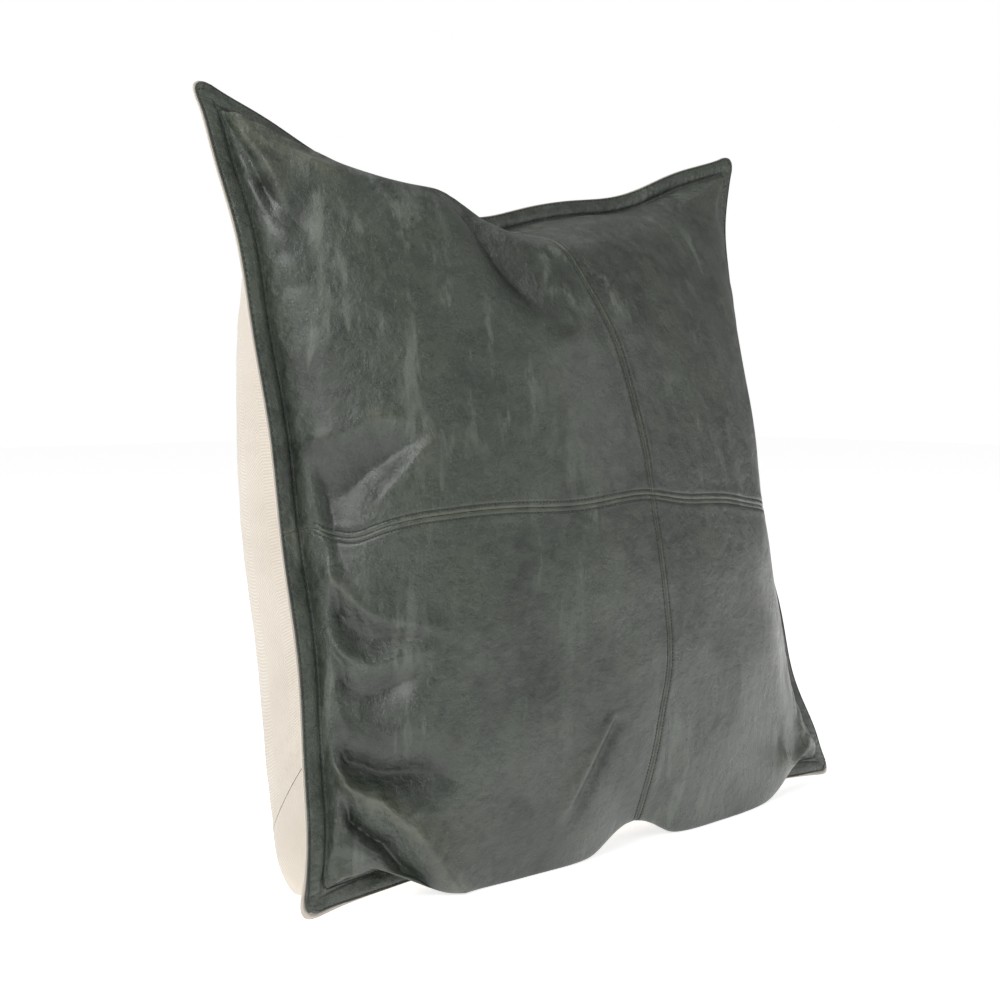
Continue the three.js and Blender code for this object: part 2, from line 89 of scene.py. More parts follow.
def lumps(p, q, size, seed):
    """Gentle unevenness between about -1 and 1, with hills about a size apart."""
    rng = np.random.default_rng(seed)
    total = np.zeros(np.broadcast(p, q).shape)
    for _ in range(7):
        angle, turn = rng.uniform(0, 2 * math.pi, 2)
        rate = 2 * math.pi / size * rng.uniform(0.6, 1.5)
        total = total + np.sin(rate * (p * math.cos(angle) + q * math.sin(angle)) + turn)
    return total / 4


# %% [markdown]
# The square is first laid out in the plane of the flange, where the filling has drawn its sides in, and
# the blow of a hand has dented the top. Then each sheet swells away from that plane, and the weight of the
# filling drags the belly down on to the floor.

# %% The flat cut laid out in the plane of the flange
def rounded(p, q):
    start = HALF - ROUND
    over_p = np.abs(p) - start
    over_q = np.abs(q) - start
    corner = (over_p > 0) & (over_q > 0)
    scale = np.maximum(over_p, over_q) / np.maximum(np.hypot(over_p, over_q), 1e-9)
    rp = np.where(corner, np.sign(p) * (start + over_p * scale), p)
    rq = np.where(corner, np.sign(q) * (start + over_q * scale), q)
    return rp, rq


def drawn_in(t, edge):
    flat = np.abs(t)
    belly = spread(np.minimum(flat / BELLY, 1)) * (edge - (HALF - BELLY))
    return np.sign(t) * np.where(flat > BELLY, edge - (HALF - flat), belly)


LEFT_PULL = 0.024
RIGHT_PULL = 0.040
TOP_PULL = 0.024
FOOT_PULL = 0.012
DENT_WIDTH = 0.045
HOLLOWS = ((-0.140, 0.027), (-0.050, 0.043), (0.030, 0.0225), (0.110, 0.0205))


def edge_at(t, pull):
    return TIP - pull * np.maximum(0, 1 - (t / HALF) ** 2) ** 0.8


def in_plane(p, q):
    rp, rq = rounded(p, q)
    across = drawn_in(rp, edge_at(rq, np.where(rp < 0, LEFT_PULL, RIGHT_PULL)))
    up = drawn_in(rq, edge_at(rp, np.where(rq < 0, FOOT_PULL, TOP_PULL)))
    dent = sum(deep * bell(across - at, DENT_WIDTH) for at, deep in HOLLOWS)
    return across, TIP_HALF + LIFT + up - dent * smooth(0.45, 1, rq / HALF)


def round_off(t, power, root=0.5):
    return np.maximum(0, 1 - spread(np.minimum(1, np.abs(t) / BELLY)) ** power) ** root


def fullness(side, p, q):
    """How full a sheet is, from 0 at the flange to 1 in the middle. The limp linen gives most."""
    across, _ = in_plane(p, q)
    pressed = 0.35 * bell(across + 0.020, 0.055) * smooth(0.55, 0.95, q / BELLY)
    if side < 0:
        return round_off(p, 2) * round_off(q, 2) * (1 - pressed)
    upright = np.where(q < 0, round_off(q, 4), round_off(q, 2, 0.7))
    return round_off(p, 4) * upright * (1 - pressed)


# %% The zip's arc
ZIP_HEIGHT = -0.152
ZIP_HALF = 0.190
ZIP_SPREAD = 0.94
ZIP_SLOT = 0.0045
ZIP_HOLD = ZIP_HALF + 0.022
ZIP_ROW = 0.0085
ZIP_R = 0.65607369
ZIP_CENTRE = np.array([0.00091, -0.60570, 0.07567])
ZIP_AXIS = np.array([0, 0.07227, 0.99739])
ZIP_OUT = np.array([0, 0.99739, -0.07227])
ZIP_TILT = -0.287593


def zip_frame(along):
    """Point, tangent, outward and upward directions at a distance along the zip, which runs towards -X."""
    angle = np.asarray(along)[..., None] / ZIP_R
    across = np.array([1.0, 0, 0])
    radial = ZIP_OUT * np.cos(angle) - across * np.sin(angle)
    tangent = -ZIP_OUT * np.sin(angle) - across * np.cos(angle)
    outward = radial * math.cos(ZIP_TILT) + ZIP_AXIS * math.sin(ZIP_TILT)
    return ZIP_CENTRE + radial * ZIP_R, tangent, outward, np.cross(outward, tangent)


def zip_point(along, up, inward):
    point, _, outward, upward = zip_frame(along)
    return point + upward * np.asarray(up)[..., None] - outward * np.asarray(inward)[..., None]


# %% The filled cover
SLIP_Q = [-0.28, -0.16, -0.10, -0.03, 0.01, 0.06, 0.10, 0.14, 0.28]
SLIP_BY_Q = [0, 0.006, 0.018, 0.010, 0.007, 0.005, -0.002, -0.018, -0.020]
SLIP_P = [-0.28, -0.20, -0.12, 0.0, 0.08, 0.14, 0.28]
SLIP_BY_P = [-0.026, -0.013, -0.012, -0.020, -0.016, -0.019, -0.024]
SLIP_WIDTH = 0.075
LOBE_RISE = 0.022


def eased(x, marks_at, amounts):
    """A run of amounts joined without corners."""
    shifts = (-0.024, -0.016, -0.008, 0.0, 0.008, 0.016, 0.024)
    return sum(np.interp(x + shift, marks_at, amounts) for shift in shifts) / len(shifts)


def slipped(p, q):
    """Leather creeps a little over the insert, which bends the cross of seams."""
    along_up = eased(q, SLIP_Q, SLIP_BY_Q) * bell(p, SLIP_WIDTH)
    along_across = eased(p, SLIP_P, SLIP_BY_P) * bell(q, SLIP_WIDTH)
    return p + along_up, q + along_across


def edge_wave(p, q):
    """The flange isn't quite flat: it sways forwards and back."""
    reach = smooth(0.20, HALF, np.maximum(np.abs(p), np.abs(q)))
    return 0.0022 * reach * lumps(p, q, 0.11, 5)


def filled(side, p, q):
    if side < 0:
        p, q = slipped(p, q)
    across, up = in_plane(p, q)
    full = fullness(side, p, q)
    depth = side * (GAP + THICK[side] + full * DEPTH[side]) + edge_wave(p, q)
    if side < 0:
        lobe = smooth(-0.255, -0.205, p) * (1 - smooth(-0.105, -0.030, p)) * smooth(0.06, 0.20, q)
        up = up + LOBE_RISE * lobe * smooth(0.05, 0.55, full)
    y = up * math.sin(LEAN) + depth * math.cos(LEAN) - BACK_SHIFT
    z = up * math.cos(LEAN) - depth * math.sin(LEAN)
    low = np.maximum(0, (BELLY - q) / (2 * BELLY)) ** 2.5
    drop = DROP[side] * (1 - SEAM_HOLD * bell(p, 0.030)) if side < 0 else DROP[side]
    z = z - drop * low * smooth(0.06, 0.45, full)
    if side > 0:
        swell = smooth(0.100, 0.240, np.abs(p)) * smooth(0.05, 0.4, full)
        swell = swell * smooth(-0.258, -0.170, q) * (1 - smooth(0, 0.200, q))
        across = across - np.where(p < 0, SIDE_SWELL, 0) * swell
    place = np.stack([across + SHIFT_X, y, z], -1)
    if side > 0:
        by = 1 - smooth(0.017, 0.072, np.abs(q - ZIP_HEIGHT))
        share = (by * (1 - smooth(ZIP_HOLD, BELLY - 0.006, np.abs(p))))[..., None]
        place = place * (1 - share) + zip_point(-p * ZIP_SPREAD, q - ZIP_HEIGHT, 0 * p) * share
    return place


def on_floor(place, softness):
    place = place.copy()
    z = place[..., 2]
    place[..., 2] = (z + np.sqrt(z * z + softness * softness)) / 2
    return place


def normals(surface, side, p, q, reach):
    """Outward directions of a surface, from its neighbouring places."""
    def step(t):
        return np.where(np.abs(t) < BELLY, reach, 0.001)

    p0, p1 = np.clip(p - step(p), -HALF, HALF), np.clip(p + step(p), -HALF, HALF)
    q0, q1 = np.clip(q - step(q), -HALF, HALF), np.clip(q + step(q), -HALF, HALF)
    across = surface(side, p1, q) - surface(side, p0, q)
    up = surface(side, p, q1) - surface(side, p, q0)
    out = np.cross(across, up) * -side
    out = out / np.maximum(np.linalg.norm(out, axis=-1, keepdims=True), 1e-12)
    border = (np.maximum(np.abs(p), np.abs(q)) > BELLY + 0.001)[..., None]
    return np.where(border, BACKWARD * side, out)


# %% [markdown]
# Leather folds where there is more of it than the filled shape needs: fans at the corners, a few sharp
# ridges that run in from the sides, and small puckers along the flange. Each fold is a line on the flat
# cut with a height and a width, and a negative height makes a valley. A cloth simulation is the usual
# way; here the folds are placed instead. With the settings tried it moved the filled shape by 5.1 mm at
# most, so the folds are placed.

# %% Folds as lines on the flat cut, in millimetres: height, width, dip beside it, then the line
FRONT_FOLDS = [
    (-9, (30, 7), 0, [(-262, 16), (-215, 28), (-160, 40)]),
    (5, (12, 6), 0, [(-266, 40), (-239, 47), (-206, 51), (-155, 46)]),
    (3.5, (6, 12), 0, [(-152, 42), (-186, 24), (-216, 10), (-228, -10)]),
    (-8, (20, 6), 0, [(-262, -46), (-215, -54), (-166, -62)]),
    (5, (8, 6), 0, [(-262, -20), (-239, -32), (-222, -42), (-201, -50), (-160, -59)]),
    (5, (9, 6), 0, [(-266, -72), (-246, -70), (-203, -66), (-162, -66)]),
    (-8, (22, 8), 0, [(-262, -96), (-220, -84), (-172, -74)]),
    (10, (9, 13), 0, [(-266, -176), (-225, -152), (-198, -160), (-172, -184), (-149, -209), (-134, -242)]),
    (-10, (13, 7), 0, [(-266, -156), (-235, -137), (-207, -131), (-175, -135), (-150, -145)]),
    (-10, (12, 17), 0, [(-258, -196), (-215, -186), (-192, -204), (-174, -238)]),
    (4, (9, 9), 0, [(-266, -254), (-215, -262), (-155, -268)]),
    (6, (9, 16), 0, [(-270, 268), (-209, 214), (-160, 160)]),
    (4, (8, 12), -4, [(-266, 262), (-243, 215), (-236, 150)]),
    (4, (8, 12), 3, [(-262, 268), (-200, 243), (-145, 226)]),
    (-3, 12, 0, [(-262, 200), (-240, 166), (-218, 140)]),
    (-14, 17, 0, [(-76, 205), (-62, 138), (-50, 112), (-34, 90)]),
    (3, 7, 3, [(-46, -128), (-66, -158), (-84, -186)]),
    (6, 10, 0, [(165, -166), (208, -200), (268, -266)]),
    (2.5, 9, 0, [(268, 268), (222, 226), (185, 185)]),
    (2, 8, 0, [(266, 262), (240, 205), (230, 145)]),
    (2, 8, 0, [(262, 268), (205, 243), (145, 232)]),
    (3, 8, 0, [(266, -262), (243, -220), (232, -165)]),
    (1.2, 13, 0, [(62, 170), (72, 60), (66, -40)]),
    (1.0, 14, 0, [(118, 150), (124, 20), (114, -90)]),
    (1.2, 12, 0, [(-60, 60), (-48, -20), (-56, -90)]),
]
BACK_FOLDS = []
for sign_p in (-1, 1):
    for sign_q in (-1, 1):
        for height, reach_p, reach_q in ((4, 150, 160), (3, 232, 130), (3, 140, 236), (-3, 200, 150)):
            bend_p, bend_q = (268 + reach_p) / 2 + 6, (268 + reach_q) / 2 - 4
            line = [(267 * sign_p, 267 * sign_q), (bend_p * sign_p, bend_q * sign_q)]
            BACK_FOLDS.append((height, 9, 0, line + [(reach_p * sign_p, reach_q * sign_q)]))
FOLDS = {-1: FRONT_FOLDS, 1: BACK_FOLDS}


def fold(p, q, height, width, dip, line):
    near = np.full(p.shape, 9.0)
    signed = np.zeros(p.shape)
    along = np.zeros(p.shape)
    points = np.array(line) / 1000
    lengths = np.hypot(*np.diff(points, axis=0).T)
    done = 0
    for (p0, q0), (p1, q1), length in zip(points, points[1:], lengths):
        dp, dq = (p1 - p0) / length, (q1 - q0) / length
        t = np.clip((p - p0) * dp + (q - q0) * dq, 0, length)
        off_p, off_q = p - p0 - t * dp, q - q0 - t * dq
        away = np.hypot(off_p, off_q)
        closer = away < near
        near = np.where(closer, away, near)
        signed = np.where(closer, np.sign(dp * off_q - dq * off_p) * away, signed)
        along = np.where(closer, (done + t) / lengths.sum(), along)
        done += length
    taper = smooth(0, 0.10, along) * (1 - smooth(0.60, 1, along))
    if isinstance(width, tuple):
        width = width[0] + (width[1] - width[0]) * along
    x = signed / (width / 1000)
    shape = height * np.exp(-np.abs(x) ** 1.35)
    if dip:
        shape = shape - abs(dip) * np.exp(-(((x - 1.5 * np.sign(dip)) / 0.9) ** 2))
    return taper * shape / 1000


def pucker(t, size, seed):
    phase = t / size * math.pi + 1.5 * lumps(t, 0 * t, 0.09, seed)
    return np.abs(np.sin(phase)) - 0.62


def folds(side, p, q):
    """How far the folds lift each place off the filled shape."""
    inset = np.maximum(BELLY - np.maximum(np.abs(p), np.abs(q)), 0)
    total = sum(fold(p, q, *row) for row in FOLDS[side]) * smooth(0.0005, 0.012, inset)
    upright = smooth(-0.02, 0.02, np.abs(p) - np.abs(q))
    run = upright * pucker(q, 0.024, 11 + side) + (1 - upright) * pucker(p, 0.024, 21 + side)
    amount = 0.0008 * np.exp(-inset / 0.022) * smooth(0, 0.004, inset)
    total = total + amount * run * (1 + 0.9 * lumps(p, q, 0.11, 8))
    total = total + 0.0012 * lumps(p, q, 0.085, 31 + side) * smooth(0, 0.05, inset)
    return total


def folded(side, p, q):
    amount = folds(side, p, q)
    if side > 0:
        near = smooth(0.012, 0.030, np.abs(q - ZIP_HEIGHT))
        amount = amount * np.where(np.abs(p) < ZIP_HOLD, near, 1)
    return on_floor(filled(side, p, q) + normals(filled, side, p, q, 0.004) * amount[..., None], 0.0024)


# %% [markdown]
# Sewing shapes the leather too. Beside a seam the edge rolls down into a groove, the turned allowance
# under it makes a firm shoulder, and every row of stitches pulls a shallow channel. The flange is padded
# by its folded layers, so it stands a little proud between its two rows.

# %% Shaping by the sewing
def seam_shape(t):
    t = np.abs(t)
    groove = -0.0003 * np.exp(-((t / 0.0005) ** 2)) + 0.0004 * bell(t - 0.0048, 0.0018)
    shoulder = 0.0003 * bell(t - 0.0014, 0.0006)
    return groove + shoulder - 0.0003 * bell(t - SEAM_ROW, 0.0005) - 0.0007 * bell(t, 0.008)


def sewn(side, p, q):
    reach = np.maximum(np.abs(p), np.abs(q))
    between = np.clip((reach - SEW) / (OUTER_ROW - SEW), 0, 1)
    upright = np.abs(p) > np.abs(q)
    ripple = 0.30 * pucker(np.where(upright, q, p), 0.0085, 51 + side)
    padding = 0.0010 if side < 0 else 0.0005
    lift = padding * np.sin(math.pi * between) ** 0.8 * (1 + ripple)
    lift = lift - 0.0004 * bell(reach - SEW, 0.0007) - 0.0003 * bell(reach - OUTER_ROW, 0.0006)
    if side < 0:
        inside = smooth(0, 0.004, BELLY - reach)
        lift = lift + (seam_shape(p) + seam_shape(q)) * inside
    return lift


def cover(side, p, q, under=0.0):
    """A place on the finished cover, or under its outer face by some distance."""
    if side < 0:
        shy = bell(np.abs(p) - HALF, 0.030) * bell(q + HALF, 0.022)
        p, q = p * (1 - 0.007 * shy), q * (1 - 0.011 * shy)
    out = normals(folded, side, p, q, 0.0012)
    place = folded(side, p, q) + out * sewn(side, p, q)[..., None]
    place[..., 2] = np.maximum(place[..., 2], 0)
    return place - out * np.asarray(under)[..., None], out


# %% Rows and columns that crowd together beside seams and stitches
FINEST = 0.0004
SEAM_START = 0.0001


def marks(start, stop, step, crowded):
    found = [start]
    while found[-1] < stop:
        x = found[-1]
        near = min(abs(x - c) for c in crowded)
        found.append(x + min(step, max(FINEST, 0.3 * near)))
    found[-1] = stop
    return np.array(found)


LEATHER_EDGE = HALF - 0.0008
STEP = 0.0019
ACROSS = marks(SEAM_START, LEATHER_EDGE, STEP, [SEAM_START, SEAM_ROW, BELLY, SEW, LEATHER_EDGE])
print("lines across a leather panel", len(ACROSS))


# %% [markdown]
# A panel is a thin closed shell: a grid for the face, the same grid moved in by the thickness, and a rim
# that joins them. The flat place of each corner is kept as a UV map in metres, so a weave follows the
# cloth, and two attributes keep where folds stand up, for wear, and where they sink, for painted shade.

# %% Shells from grids
def new_mesh(name, points, faces):
    mesh = bpy.data.meshes.new(name)
    size = faces.shape[1]
    mesh.vertices.add(len(points))
    mesh.vertices.foreach_set("co", np.ascontiguousarray(points, np.float32).ravel())
    mesh.loops.add(faces.size)
    mesh.loops.foreach_set("vertex_index", np.ascontiguousarray(faces, np.int32).ravel())
    mesh.polygons.add(len(faces))
    mesh.polygons.foreach_set("loop_start", np.arange(0, faces.size, size, dtype=np.int32))
    mesh.polygons.foreach_set("use_smooth", np.ones(len(faces), bool))
    mesh.update(calc_edges=True)
    mesh.validate()
    piece = bpy.data.objects.new(name, mesh)
    bpy.context.scene.collection.objects.link(piece)
    return piece


def write_flat(piece, flat):
    """Keeps the flat place of every corner as the UV map 'flat'."""
    mesh = piece.data
    layer = mesh.uv_layers.new(name="flat")
    loops = np.empty(len(mesh.loops), np.int32)
    mesh.loops.foreach_get("vertex_index", loops)
    layer.data.foreach_set("uv", np.ascontiguousarray(flat[loops], np.float32).ravel())


def write_value(piece, name, values):
    layer = piece.data.attributes.new(name, "FLOAT", "POINT")
    layer.data.foreach_set("value", np.ascontiguousarray(values, np.float32))


def shell(name, outer, inner, flip):
    rows, columns = outer.shape[:2]
    index = np.arange(rows * columns).reshape(rows, columns)
    inside = index + rows * columns

    def quads(a, b, c, d):
        return np.stack([a, b, c, d], -1).reshape(-1, 4)

    faces = [quads(index[:-1, :-1], index[:-1, 1:], index[1:, 1:], index[1:, :-1])]
    faces.append(quads(inside[:-1, :-1], inside[1:, :-1], inside[1:, 1:], inside[:-1, 1:]))
    ring = np.concatenate([index[0, :-1], index[:-1, -1], index[-1, :0:-1], index[:0:-1, 0]])
    onward = np.roll(ring, -1)
    faces.append(quads(ring, ring + rows * columns, onward + rows * columns, onward))
    faces = np.concatenate(faces)
    points = np.concatenate([outer.reshape(-1, 3), inner.reshape(-1, 3)])
    piece = new_mesh(name, points, faces[:, ::-1] if flip else faces)
    piece.data.set_sharp_from_angle(angle=math.radians(55))
    return piece


def cover_panel(name, side, p, q):
    outer, out = cover(side, p, q)
    inner = outer - out * THICK[side]
    piece = shell(name, outer, inner, side > 0)
    flat = np.stack([p, q], -1).reshape(-1, 2)
    write_flat(piece, np.concatenate([flat, flat]))
    lift = folds(side, p, q) + sewn(side, p, q)
    if side < 0:
        lift = lift + 0.0060 * bell(np.minimum(np.abs(p), np.abs(q)), 0.0012)
    write_value(piece, "crest", np.tile(np.clip(lift / 0.006, 0, 1).ravel(), 2))
    # Where folds and seams sink is kept so that the leather can paint shade there.
    write_value(piece, "valley_shade", np.tile(np.clip(-lift / 0.010, 0, 1).ravel(), 2))
    print(name, len(piece.data.polygons), "faces")
    return piece


# %% Four leather panels
LEATHER_FRONT = {}
for word, sign_p, sign_q in (
    ("upper_left", -1, 1),
    ("upper_right", 1, 1),
    ("lower_left", -1, -1),
    ("lower_right", 1, -1),
):
    columns = ACROSS if sign_p > 0 else -ACROSS[::-1]
    rows = ACROSS if sign_q > 0 else -ACROSS[::-1]
    p, q = np.meshgrid(columns, rows)
    LEATHER_FRONT[word] = cover_panel(f"leather_{word}", -1, p, q)

# %% [markdown]
# The linen back is two panels with the zip between them. Their edges leave a slot for the chain and
# come together past the zip's ends.

# %% Two linen panels
LINEN_STEP = 0.0023
WIDE = marks(0, HALF, LINEN_STEP, [BELLY, SEW, HALF])
WIDE = np.concatenate([-WIDE[:0:-1], WIDE])
LINEN_BACK = {}
for word, sign in (("upper", 1), ("lower", -1)):
    start = ZIP_HEIGHT + sign * ZIP_SLOT
    if sign > 0:
        rows = marks(start, HALF, LINEN_STEP, [start, BELLY, SEW, HALF])
    else:
        rows = -marks(-start, HALF, LINEN_STEP, [-start, BELLY, SEW, HALF])[::-1]
    p, q = np.meshgrid(WIDE, rows)
    closing = smooth(0.208, 0.218, np.abs(p)) * (ZIP_SLOT - GAP)
    q = q - sign * closing * (1 - smooth(0, 0.014, np.abs(q - start)))
    LINEN_BACK[word] = cover_panel(f"linen_{word}", 1, p, q)

# %% [markdown]
# A stitch is a short bead of thread that dives into the cloth at both ends. It is modelled once, as a
# ball drawn out along its length, and copied along every row.

# %% One stitch
def deselect_all():
    bpy.ops.object.select_all(action="DESELECT")


def taken(piece):
    """A modelled piece's corners and faces, and the piece is put away."""
    points = np.array([piece.matrix_world @ v.co for v in piece.data.vertices])
    faces = [tuple(f.vertices) for f in piece.data.polygons]
    bpy.data.objects.remove(piece)
    return points, faces


deselect_all()
bpy.ops.mesh.primitive_uv_sphere_add(segments=8, ring_count=6, radius=0.5, location=(0, 0, 0))
bead = bpy.context.object
bpy.ops.object.mode_set(mode="EDIT")
bpy.ops.mesh.select_all(action="SELECT")
bpy.ops.transform.rotate(value=math.pi / 2, orient_axis="Y", center_override=(0, 0, 0))
bpy.ops.transform.resize(value=(1, 0.30, 0.26))
bpy.ops.object.mode_set(mode="OBJECT")
BEAD, BEAD_FACES = taken(bead)
print("stitch", len(BEAD), "corners")


def copied(name, points, faces, places, axes):
    """One mesh of copies of a small shape, each at a place with its three directions."""
    spots = np.einsum("vk,nkc->nvc", points, axes) + places[:, None, :]
    polygons = []
    for size in sorted({len(f) for f in faces}):
        few = np.array([f for f in faces if len(f) == size])
        every = few[None] + (np.arange(len(places)) * len(points))[:, None, None]
        polygons.append((size, every.reshape(-1, size)))
    mesh = bpy.data.meshes.new(name)
    flat = [list(map(int, f)) for _, block in polygons for f in block]
    mesh.from_pydata(spots.reshape(-1, 3).tolist(), [], flat)
    mesh.polygons.foreach_set("use_smooth", np.ones(len(mesh.polygons), bool))
    mesh.update()
    piece = bpy.data.objects.new(name, mesh)
    bpy.context.scene.collection.objects.link(piece)
    return piece


# %% Rows of stitches
THREAD_WIDTH = 0.0030
RING_TURN = 0.010


def stitch_row(name, side, p, q, pitch, length):
    """Stitches along a line of flat places, at an even pitch."""
    run = np.concatenate([[0], np.cumsum(np.hypot(np.diff(p), np.diff(q)))])
    count = max(2, int(run[-1] / pitch))
    middles = (np.arange(count) + 0.5) * run[-1] / count
    mp, mq = np.interp(middles, run, p), np.interp(middles, run, q)
    ap, aq = np.interp(middles + 0.0004, run, p), np.interp(middles + 0.0004, run, q)
    bp, bq = np.interp(middles - 0.0004, run, p), np.interp(middles - 0.0004, run, q)
    centre, out = cover(side, mp, mq, -0.00012)
    ahead, _ = cover(side, ap, aq)
    behind, _ = cover(side, bp, bq)
    along = ahead - behind
    along = along / np.linalg.norm(along, axis=-1, keepdims=True)
    beside = np.cross(out, along)
    beside = beside / np.linalg.norm(beside, axis=-1, keepdims=True)
    slant = along * 0.985 + beside * 0.17
    across = np.cross(out, slant)
    rng = np.random.default_rng(len(name))
    grow = rng.uniform(0.92, 1.06, (count, 1))
    axes = np.stack([slant * length * grow, across * THREAD_WIDTH, out * THREAD_WIDTH], 1)
    piece = copied(name, BEAD, BEAD_FACES, centre, axes)
    print(name, count, "stitches")
    return piece


def ring_line(reach):
    """Once round the flange at a flat distance from the middle."""
    corner = reach - RING_TURN
    turn = np.linspace(0, math.pi / 2, 12)
    p, q = [], []
    for quarter in range(4):
        c, s = math.cos(quarter * math.pi / 2), math.sin(quarter * math.pi / 2)
        x, y = corner + RING_TURN * np.cos(turn), corner + RING_TURN * np.sin(turn)
        p += list(c * x - s * y)
        q += list(s * x + c * y)
    return np.array(p + p[:1]), np.array(q + q[:1])


STITCHES = {}
for side, face in ((-1, "front"), (1, "back")):
    for word, reach in (("inner", SEW), ("outer", OUTER_ROW)):
        name = f"flange_thread_{word}_{face}"
        row = stitch_row(name, side, *ring_line(reach), 0.0034, 0.0026)
        STITCHES[f"flange_stitch_{word}_{face}"] = row
SEAM_END = BELLY - 0.003
for word, p, q in (
    ("across_upper", (-SEAM_END, SEAM_END), (SEAM_ROW, SEAM_ROW)),
    ("across_lower", (-SEAM_END, SEAM_END), (-SEAM_ROW, -SEAM_ROW)),
    ("upper_left", (-SEAM_ROW, -SEAM_ROW), (0.004, SEAM_END)),
    ("upper_right", (SEAM_ROW, SEAM_ROW), (0.004, SEAM_END)),
    ("lower_left", (-SEAM_ROW, -SEAM_ROW), (-0.004, -SEAM_END)),
    ("lower_right", (SEAM_ROW, SEAM_ROW), (-0.004, -SEAM_END)),
):
    line = np.array(p, float), np.array(q, float)
    STITCHES[f"seam_stitch_{word}"] = stitch_row(f"seam_thread_{word}", -1, *line, 0.0025, 0.0019)
for word, sign in (("upper", 1), ("lower", -1)):
    level = ZIP_HEIGHT + sign * ZIP_ROW
    line = np.array([-0.208, 0.208]), np.array([level, level])
    STITCHES[f"zip_stitch_{word}"] = stitch_row(f"zip_thread_{word}", 1, *line, 0.0028, 0.0022)

# %% [markdown]
# The zip's chain is two coils of nylon filament that lock into each other. One loop is spun from a ring,
# flattened, and copied along the arc, and the two rows are half a pitch apart.

# %% The coils
deselect_all()
bpy.ops.mesh.primitive_torus_add(major_segments=10, minor_segments=4, major_radius=0.5, minor_radius=0.16)
loop = bpy.context.object
LOOP, LOOP_FACES = taken(loop)
COIL_PITCH = 0.0014
CHAIN_LENGTH = 0.377
COILS = {}
for word, sign, shift in (("upper", 1, 0.0), ("lower", -1, 0.5)):
    count = int(CHAIN_LENGTH / COIL_PITCH)
    along = (np.arange(count) - count / 2 + shift) * COIL_PITCH
    point, tangent, outward, upward = zip_frame(along)
    centre = point + upward * sign * 0.00112 - outward * 0.00012
    lean = tangent * 0.20 + outward * 0.98
    axes = np.stack([upward * 0.00205, lean * 0.00115, tangent * 0.00105], 1)
    COILS[word] = copied(f"zip_coil_row_{word}", LOOP, LOOP_FACES, centre, axes)
    print("coil", word, count, "loops")

# %% [markdown]
# The insert is a plain bag of down-proof ticking, sewn from two squares and turned, with its own edge
# seam, and the feathers inside fill it to a soft lens. Nobody sees it while the zip is shut, but it is a
# piece of its own, so it is made whole: two shells that swell from one seam, and lumpy filling inside.

# %% The insert
INSERT_HALF = 0.222
INSERT_PLANE = -0.004
INSERT_DEPTH = {-1: 0.068, 1: 0.078}
FILL_SHARE = 0.88
FILL_UNDER = -0.006


def insert_place(u, v, depth):
    across, up = in_plane(u * INSERT_HALF, v * INSERT_HALF)
    y = up * math.sin(LEAN) + depth * math.cos(LEAN) - BACK_SHIFT
    return np.stack([across + SHIFT_X, y, up * math.cos(LEAN) - depth * math.sin(LEAN)], -1)


def insert_layer(side, reach, lift, rough):
    stops = np.linspace(-reach, reach, 57)
    u, v = np.meshgrid(stops, stops)
    swell = INSERT_DEPTH[side] - 0.002
    full = (1 - u * u) * (1 - v * v)
    uneven = rough * lumps(u, v, 0.35, 71 + side) * full
    rim = 0.0012 * full**0.5 * lumps(u, v, 0.10, 75 + side)
    return insert_place(u, v, INSERT_PLANE + side * (swell * full + lift + uneven + rim)), u, v


TICKING = {}
for word, side in (("front", -1), ("back", 1)):
    outer, u, v = insert_layer(side, 1, 0.0012, 0.0015)
    inner, _, _ = insert_layer(side, 1, 0.0002, 0.0015)
    piece = shell(f"ticking_{word}", outer, inner, side > 0)
    flat = np.stack([u, v], -1).reshape(-1, 2) * INSERT_HALF
    write_flat(piece, np.concatenate([flat, flat]))
    TICKING[word] = piece
front_fill, _, _ = insert_layer(-1, FILL_SHARE, FILL_UNDER, 0.003)
back_fill, _, _ = insert_layer(1, FILL_SHARE, FILL_UNDER, 0.003)
filling = shell("feathers", front_fill, back_fill, False)
print("insert made of", len(TICKING) + 1, "pieces")

# %% [markdown]
# Materials are built from nodes. Effects that more than one of them needs are node groups, made once:
# leather grain, cloudy mottling, rubbed streaks, the herringbone and plain weaves, and thread twist.

# %% Helpers for nodes
def put(tree, kind, values=None, **settings):
    node = tree.nodes.new(kind)
    for key, value in settings.items():
        setattr(node, key, value)
    for key, value in (values or {}).items():
        if isinstance(value, bpy.types.NodeSocket):
            tree.links.new(value, node.inputs[key])
        else:
            node.inputs[key].default_value = value
    return node


def math_node(tree, operation, a, b=None, clamp=False):
    values = {0: a} if b is None else {0: a, 1: b}
    return put(tree, "ShaderNodeMath", values, operation=operation, use_clamp=clamp).outputs[0]


def mapped(tree, value, low, high, out_low=0.0, out_high=1.0):
    values = {"Value": value, "From Min": low, "From Max": high, "To Min": out_low, "To Max": out_high}
    return put(tree, "ShaderNodeMapRange", values, interpolation_type="SMOOTHSTEP").outputs[0]


def mixed(tree, factor, a, b):
    return put(tree, "ShaderNodeMix", {0: factor, 6: a, 7: b}, data_type="RGBA").outputs[2]


def moved(tree, vector, scale, turn=(0, 0, 0)):
    return put(tree, "ShaderNodeMapping", {"Vector": vector, "Scale": scale, "Rotation": turn}).outputs[0]


def noise(tree, vector, scale, detail=4.0, rough=0.55):
    values = {"Vector": vector, "Scale": scale, "Detail": detail, "Roughness": rough}
    return put(tree, "ShaderNodeTexNoise", values).outputs["Fac"]


def new_group(name, inputs, outputs):
    tree = bpy.data.node_groups.new(name, "ShaderNodeTree")
    for label, kind, default in inputs:
        socket = tree.interface.new_socket(label, in_out="INPUT", socket_type=kind)
        if default is not None:
            socket.default_value = default
    for label, kind in outputs:
        tree.interface.new_socket(label, in_out="OUTPUT", socket_type=kind)
    return tree, put(tree, "NodeGroupInput").outputs, put(tree, "NodeGroupOutput").inputs


